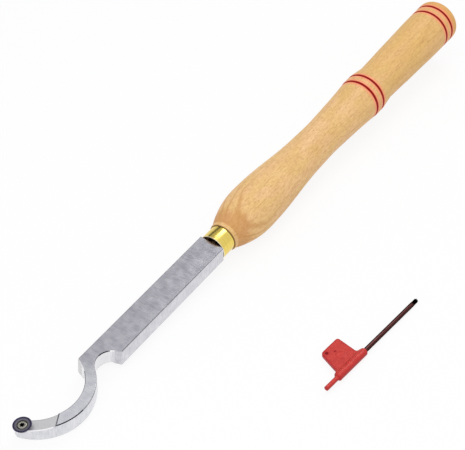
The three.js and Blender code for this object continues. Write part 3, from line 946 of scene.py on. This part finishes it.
# %% Material of the handle: patches, fibres and pores
patched = pattern_on(tree, place, (22, 9, 9), 0.38, 0.62, Detail=3.0)[1]
mottle, mottled = pattern_on(
    tree, place, (3.4, 1.5, 1.5), 0.42, 0.66, 0.5, Detail=4.0, Roughness=0.7,
)
streaked = pattern_on(tree, place, (34, 0.9, 0.9), 0.5, 0.72, 0.4, Detail=3.0, Roughness=0.6)[1]
pored = pattern_on(tree, place, (3.2, 0.5, 0.5), 0.57, 0.7, 0.55, Detail=1.0)[1]
finish(
    tree, shader, linear("EAC383"),
    [
        (patched, "EFC591"), (strength["yellower grip"], "DDB05C"), (mottled, "D4A266"),
        (ringed, "C68C50"), (streaked, "BE8A50"), (pored, "BE864C"),
        (strength["warmer butt"], "DDA055"), (end_grain_and_painted_shade, "BC7638"), (bled, "FF8E72"),
        (in_groove, "980000"), (strength["joint"], "5A3208"),
    ],
    relief=(mottle, 0.15, 0.05),
)

# %% [markdown]
# ## Turned brass
# Yellow brass fresh from the lathe: fine turning lines run round it, and they blur what it
# mirrors along its length. The last half millimetre at the rear is dull from the joint, the rim
# of the mouth is painted pale as a painted highlight, and the inside is painted brown.

# %% Material of the ferrule
tree, shader, place = material_on(
    ferrule, "Turned brass", tool_frame, Metallic=1.0, Roughness=0.22,
)
lines, lined = pattern_on(tree, place, (0.4, 30, 30), Detail=3.0)
along = add(tree, "SeparateXYZ", {"Vector": place}).outputs["X"]
radius = radius_on(tree, place, (0, 1, 1))
lip_at = -mouth_at / MM
inner_edge = (ferrule_outside - MOUTH_RIM) / MM
# The rim of the mouth gets a painted highlight, and the inside is painted brown
dulled, painted_bright, brown_inside = [
    add(tree, "MapRange", dict(zip(RANGE, row)))
    for row in [
        (along, joint_at, joint_at + 0.7, 0.6, 0),
        (along, lip_at - 0.5, lip_at - 0.3, 0, 0.85),
        (radius, inner_edge - 0.15, inner_edge, 0.92, 0),
    ]
]
finish(
    tree, shader, linear("E9CC60"),
    [(lined, "F5DC78"), (dulled, "8A7430"), (painted_bright, "FFF4D2"), (brown_inside, "AE7C5C")],
    relief=(lines, 0.2, 0.01),
)

# %% [markdown]
# ## Ground steel
# The bar was ground to size on a belt, which leaves fine lines across it, and the satin face
# shows cloudy patches where the belt pressed more or less. The crook was shaped by hand and
# polished afterwards, so it is paler than the bar. The milled seat is the roughest, and the
# numbers kept on the faces add painted shade and painted highlights to the rest.

# %% Material of the bar
CROOK_BLEND = (126.0, 140.0)
PATCH_SHARE = 0.42
SAME_TONE = 0.05
LEAST_ROUGH = 0.22
ROUGHER_IN_PATCHES = 0.04
ROUGHER_ON_SEAT = 0.32
tree, shader, place = material_on(bar, "Ground tool steel", tool_frame, Metallic=1.0)
scratches = pattern_on(tree, place, (0.6, 8, 8), 0, 1, Detail=4.0, Roughness=0.65)[1]
patches, patched = pattern_on(tree, place, (5.5, 5.5, 5.5), Detail=4.0)
mixed = add(tree, "Mix", {"Factor": PATCH_SHARE, "A": scratches, "B": patches}, data_type="FLOAT")
shade = add(tree, "MapRange", {"Value": mixed, "From Min": 0.35, "From Max": 0.65})
on_bar, on_crook = [
    add(tree, "Mix", {"Factor": shade, "A": linear(dark), "B": linear(light)}, data_type="RGBA")
    for dark, light in [("BCBBC3", "DDDCE2"), ("DADBE1", "F5F5F9")]
]
along = add(tree, "SeparateXYZ", {"Vector": place}).outputs["X"]
towards_crook = add(
    tree, "MapRange",
    {"Value": along, "From Min": CROOK_BLEND[0], "From Max": CROOK_BLEND[1]},
    interpolation_type="SMOOTHSTEP",
)
steel = add(tree, "Mix", {"Factor": towards_crook, "A": on_bar, "B": on_crook}, data_type="RGBA")
tone = add(tree, "Attribute", attribute_name=PAINTED_TONE).outputs["Fac"]
# A dark coat of painted shade and a white coat of painted highlight, from the numbers on the faces
painted_shade = add(tree, "MapRange", {"Value": tone, "To Max": 0.95})
painted_highlight = add(tree, "MapRange", {"Value": tone, "From Min": 0.0, "From Max": -1.0})
milled = add(tree, "Math", {0: tone, 1: -MILLED_BRIGHTNESS, 2: SAME_TONE}, operation="COMPARE")
polish = add(
    tree, "Math", {0: patched, 1: ROUGHER_IN_PATCHES, 2: LEAST_ROUGH}, operation="MULTIPLY_ADD",
)
sheen = add(tree, "Math", {0: milled, 1: ROUGHER_ON_SEAT, 2: polish}, operation="MULTIPLY_ADD")
finish(
    tree, shader, steel, [(painted_shade, "1C1C22"), (painted_highlight, "FFFFFF"), (milled, "E0DFDF")],
    relief=(scratches, 0.2, 0.02), Roughness=sheen,
)

# %% [markdown]
# ## Sintered carbide
# Tungsten carbide is darker than steel. Its ground rim has a violet cast, the dish inside it is
# a neutral grey, and a dark ring of painted shade lies where the dish meets the screw's
# countersink.

# %% Material of the cutter
tree, shader, place = material_on(
    cutter, "Ground tungsten carbide", seat_frame, Metallic=1.0,
)
grains, grained = pattern_on(tree, place, (0.4, 0.4, 0.4), Detail=3.0)
radius = radius_on(tree, place, (1, 1, 0))
# The dark ring where the dish meets the countersink is painted shade
on_rim, countersink_painted_shade, shine = [
    add(tree, "MapRange", dict(zip(RANGE, row)))
    for row in [
        (radius, 4.3, 5.2, 0, 0.9), (radius, 3.3, 3.6, 0.85, 0), (grains, 0.3, 0.7, 0.24, 0.34),
    ]
]
finish(
    tree, shader, linear("737178"),
    [(grained, "86848A"), (on_rim, "373158"), (countersink_painted_shade, "2A292C")], Roughness=shine,
)

# %% [markdown]
# ## Bright screw steel
# The screw is hardened steel, rolled and left bright. Its socket gets near-black painted
# shade.

# %% Material of the screw
SOCKET_SHADE_RADIUS = 1.75
tree, shader, place = material_on(
    screw, "Bright screw steel", seat_frame, Metallic=1.0,
)
film, filmed = pattern_on(tree, place, (0.5, 0.5, 0.5), Detail=2.0)
height = add(tree, "SeparateXYZ", {"Vector": place}).outputs["Z"]
radius = radius_on(tree, place, (1, 1, 0))
lip_height = (head_top - HEAD_DOME) / MM
# The inside of the socket gets near-black painted shade
socket_painted_shade, shine = [
    add(tree, "MapRange", dict(zip(RANGE, row)))
    for row in [
        (height, lip_height - 0.3, lip_height, 1, 0), (film, 0.3, 0.7, 0.18, 0.3),
    ]
]
near_axis = add(tree, "Math", {0: radius, 1: SOCKET_SHADE_RADIUS}, operation="LESS_THAN")
above_shank = add(tree, "Math", {0: height, 1: socket_floor / MM - 1}, operation="GREATER_THAN")
for limit in (near_axis, above_shank):
    socket_painted_shade = add(tree, "Math", {0: socket_painted_shade, 1: limit}, operation="MULTIPLY")
finish(
    tree, shader, linear("9E9C8E"), [(filmed, "C8C6BA"), (socket_painted_shade, "141413")], Roughness=shine,
)

# %% [markdown]
# ## Black oxide steel
# The key's blade was blackened in a hot bath and oiled. The film is thin, so the round rod looks
# brown where it mirrors the lamp. The milled tip holds more oil and stays black.

# %% Material of the key's blade
TIP_BLEND = 2
tree, shader, place = material_on(
    blade, "Black oxide steel", key_frame,
    Metallic=1.0, Roughness=0.2, Specular_Tint=linear("180E0E"),
)
drawn, drawn_out = pattern_on(tree, place, (9, 0.3, 0.3), Detail=3.0)
along = add(tree, "SeparateXYZ", {"Vector": place}).outputs["X"]
on_tip = add(
    tree, "MapRange",
    {"Value": along, "From Min": tip_start / MM - TIP_BLEND, "From Max": tip_start / MM},
)
finish(
    tree, shader, linear("3E2424"), [(drawn_out, "5E3C3A"), (on_tip, "0C0A0A")],
    relief=(drawn, 0.2, 0.02),
)

# %% [markdown]
# ## Moulded red plastic
# The key's handle is glass-filled nylon, moulded in one colour. Its skin is half glossy and
# slightly uneven. Painted shade makes the sides a deeper red than the flat faces, and a narrow
# band of painted shade darkens the flag's edges and the rim of its disc. How far each point of
# the skin turns to the side, or how near it lies to skin that does, is kept on the piece as a
# number that the material reads as painted shade.

# %% Measure the sides and edges of the key's skin for painted shade
PAINTED_SIDE_SHADE = "painted_side_shade"
LEANING = 0.45
EDGE_BAND = 0.75 * MM
EDGE_BAND_REACH = 1.5
FLAG_FROM = 4 * MM
DISC_DEPTH = MM / 2
DISC_EDGE_HALF_WIDTH = 0.3 * MM
DISC_RIM_SHADE = 0.5
to_key = key_frame.inverted()
flag_spots = [
    spot for spot in (to_key @ corner for corner in corners_of("key_flag"))
    if abs(spot.y) > FLAG_FROM
]
disc_top = max(spot.z for spot in flag_spots)
disc_spots = [spot for spot in flag_spots if abs(spot.z - disc_top) < ROUND_OFF]
disc_middle = middle_of(disc_spots)
disc_radius = max((spot - disc_middle).length for spot in disc_spots)
print("Disc's radius, mm:", round(disc_radius / MM, 2))

skin = flag.data.vertices
own_lean = [1 - abs(vertex.normal.dot(key_up)) for vertex in skin]
leaning = [vertex.index for vertex in skin if own_lean[vertex.index] > LEANING]
sides = KDTree(len(leaning))
for number, index in enumerate(leaning):
    sides.insert(skin[index].co, number)
sides.balance()
# The number kept on each point is its amount of painted shade
leans = flag.data.attributes.new(PAINTED_SIDE_SHADE, "FLOAT", "POINT")
for vertex in skin:
    away_from_side = sides.find(vertex.co)[2]
    spot = to_key @ vertex.co
    on_flag = spot.y > FLAG_FROM
    edge_shade = max(0, min(1, EDGE_BAND_REACH - away_from_side / EDGE_BAND)) if on_flag else 0
    from_disc = spot - disc_middle
    off_edge = abs(math.hypot(from_disc.x, from_disc.y) - disc_radius) / DISC_EDGE_HALF_WIDTH
    disc_rim_shade = DISC_RIM_SHADE * max(0, 1 - off_edge) if from_disc.z > -DISC_DEPTH else 0
    leans.data[vertex.index].value = max(own_lean[vertex.index], edge_shade, disc_rim_shade)
print("Points on the sides:", len(leaning), "of", len(skin))

# %% [markdown]
# A dark line of painted shade runs along the upper outside of the barrel. It is where a tilted
# plane through the barrel's axis cuts the skin.

# %% Material of the key's handle
SHADE_LINE_ASIDE = 0.751
SHADE_LINE_UP = 0.66
SHADE_LINE_HALF_WIDTH = 0.38
SHADE_LINE_OUTSIDE = 1.5
tree, shader, place = material_on(
    flag, "Moulded nylon", key_frame, Roughness=0.42, IOR=1.53, Specular_IOR_Level=0.35,
)
flowed = pattern_on(tree, place, (3, 3, 3), Detail=5.0)[1]
spark = pattern_on(tree, place, (0.6, 0.6, 0.6), 0, 1, Detail=2.0)[1]
# The sides and edges get painted shade from the number kept on the skin
painted_side_shade = add(tree, "Attribute", attribute_name=PAINTED_SIDE_SHADE).outputs["Fac"]
side_shade_share = add(tree, "MapRange", {"Value": painted_side_shade, "From Min": 0.15, "From Max": 0.75, "To Max": 0.95})
# A line of painted shade along the barrel
across_line, towards_line = [
    add(tree, "VectorMath", {0: place, 1: direction}, operation="DOT_PRODUCT").outputs["Value"]
    for direction in [(0, SHADE_LINE_UP, -SHADE_LINE_ASIDE), (0, SHADE_LINE_ASIDE, SHADE_LINE_UP)]
]
from_line = add(tree, "Math", {0: across_line}, operation="ABSOLUTE")
line_depth = add(tree, "MapRange", dict(zip(RANGE, (from_line, 0, 2 * SHADE_LINE_HALF_WIDTH, 0.8, 0))))
outside = add(tree, "Math", {0: towards_line, 1: SHADE_LINE_OUTSIDE}, operation="GREATER_THAN")
painted_shade_line = add(tree, "Math", {0: line_depth, 1: outside}, operation="MULTIPLY")
finish(
    tree, shader, linear("BC2A25"),
    [(flowed, "CA372E"), (side_shade_share, "AC0A12"), (painted_shade_line, "560A10")], relief=(spark, 0.06, 0.03),
)

# %% [markdown]
# ## The glue in the handle
# Nobody sees the glue round the tang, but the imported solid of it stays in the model, so it gets
# its own finish: cured epoxy, amber and slightly cloudy.

# %% Material of the glue
tree, shader, place = material_on(
    frame["nodes"]["tang_glue"], "Cured epoxy", tool_frame, Roughness=0.4, IOR=1.55,
)
cloudy = pattern_on(tree, place, (2.5, 2.5, 2.5), Detail=2.0)[1]
finish(tree, shader, linear("B9A06C"), [(cloudy, "D2BF90")])

# %% [markdown]
# ## The studio
# The photograph shows the tool on pure white. A floor that is lit to white would also flood the
# object, so the floor glows white only for the camera and in mirror images, the world is white
# only for the camera, and the lamps stay at the level at which colours look as written. A little
# of the floor's light is real, so it still takes the tool's soft shadow.

# %% Floor
FLOOR_SIZE = 6
FLOOR_DROP = 0.05 * MM
FLOOR_GLOW = 0.88
FLOOR_COLOUR = (0.9, 0.9, 0.91, 1)
FLOOR_GLOSS = 0.1
MATT = 0.9
bpy.ops.mesh.primitive_plane_add(size=FLOOR_SIZE, location=(0, 0, -FLOOR_DROP))
floor = bpy.context.object
floor.name = "floor"
tree, shader = plain_material_on(
    floor, "White studio floor",
    Roughness=MATT, Specular_IOR_Level=FLOOR_GLOSS, Base_Color=FLOOR_COLOUR,
)
path = add(tree, "LightPath")
seen = path.outputs["Is Camera Ray"]
for ray in ("Is Glossy Ray", "Is Transmission Ray"):
    seen = add(tree, "Math", {0: seen, 1: path.outputs[ray]}, operation="MAXIMUM")
white = add(tree, "Emission", {"Color": linear("FFFFFF"), "Strength": 1.0})
glow = add(tree, "Math", {0: seen, 1: FLOOR_GLOW}, operation="MULTIPLY")
blended = add(tree, "MixShader", {"Fac": glow, 1: shader, 2: white})
tree.links.new(blended.outputs["Shader"], tree.nodes["Material Output"].inputs["Surface"])

# %% [markdown]
# A dark card stands beyond the tool, as photographers use for bright metal. It only shows in
# mirror images: it draws the dark streak along the brass, without which the ferrule looks flat.

# %% Dark card
CARD_PLACE = Vector((-0.476, -0.641, 0.445))
CARD_SIZE = (0.9, 0.24)
card_aim = turning_frame @ Vector((0, 0, (mouth_at + rear_at) / 2))
card_turn = (card_aim - CARD_PLACE).to_track_quat("Z", "Y").to_euler()
bpy.ops.mesh.primitive_plane_add(size=1, location=CARD_PLACE, rotation=card_turn)
card = bpy.context.object
card.name = "dark_card"
card.scale = (*CARD_SIZE, 1)
plain_material_on(card, "Black card", Roughness=MATT, Base_Color=linear("2A2A2C"))
card.visible_camera = card.visible_diffuse = card.visible_shadow = False

# %% [markdown]
# The world is a soft grey for light. In mirror images it follows a real room with a lamp under a
# white ceiling: pale near the floor, darker above, bright again overhead, and bright on the key's
# side, where a white wall stands. It is plain white only where the camera looks straight at it.

# %% World
WORLD_LEVEL = 0.65
WALL_FROM, WALL_TO = -0.25, 0.1
COOL = 1.03

# How bright the room looks at each height above the horizon, in degrees
ROOM_IN_MIRRORS = [
    (0, 0.85), (20, 0.75), (38, 0.62), (50.5, 0.51), (54.5, 0.48), (58, 0.82), (90, 0.9),
]
world = bpy.data.worlds.new("Studio")
bpy.context.scene.world = world
world.use_nodes = True
tree = world.node_tree
background = tree.nodes["Background"]
direction = add(tree, "TexCoord").outputs["Generated"]
parts = add(tree, "SeparateXYZ", {"Vector": direction})
room = add(tree, "ValToRGB", {"Fac": parts.outputs["Z"]})
for number, (elevation, level) in enumerate(ROOM_IN_MIRRORS):
    if number > 1:
        room.color_ramp.elements.new(1)
    stop = room.color_ramp.elements[number]
    stop.position = math.sin(math.radians(elevation))
    stop.color = (level, level, level * COOL, 1)
beside = add(
    tree, "MapRange", {"Value": parts.outputs["Y"], "From Min": WALL_FROM, "From Max": WALL_TO},
)
lit_room = add(tree, "Mix", {"Factor": beside, "A": room, "B": linear("EFEFF1")}, data_type="RGBA")
path = add(tree, "LightPath")
mirrored = add(
    tree, "Mix",
    {
        "Factor": path.outputs["Is Glossy Ray"],
        "A": (WORLD_LEVEL, WORLD_LEVEL, WORLD_LEVEL, 1), "B": lit_room,
    },
    data_type="RGBA",
)
shown = add(
    tree, "Mix",
    {"Factor": path.outputs["Is Camera Ray"], "A": mirrored, "B": linear("FFFFFF")},
    data_type="RGBA",
)
tree.links.new(shown.outputs["Result"], background.inputs["Color"])

# %% [markdown]
# A soft box hangs beyond the tool on the left and draws the bright lines along the brass and the
# key. A larger and weaker one behind the camera fills the shadows.

# %% Lamps
LAMPS = [
    # name, place in m, size in m, watts, shows in mirror images
    ("key_light", (-0.72, -0.09, 0.96), 0.46, 2.9, True),
    ("fill_light", (0.6, 0.15, 1.0), 0.9, 5.0, False),
]
for name, place, size, watts, mirrored_too in LAMPS:
    aim = (-Vector(place)).to_track_quat("-Z", "Y").to_euler()
    bpy.ops.object.light_add(type="AREA", location=place, rotation=aim)
    lamp = bpy.context.object
    lamp.name = name
    lamp.data.size = size
    lamp.data.energy = watts
    lamp.visible_glossy = mirrored_too
    print(name, round(Vector(place).length, 2), "m from the middle")

# %% [markdown]
# ## Finish
# Standard view keeps the colours as written.

# %% Output
bpy.context.scene.view_settings.view_transform = "Standard"
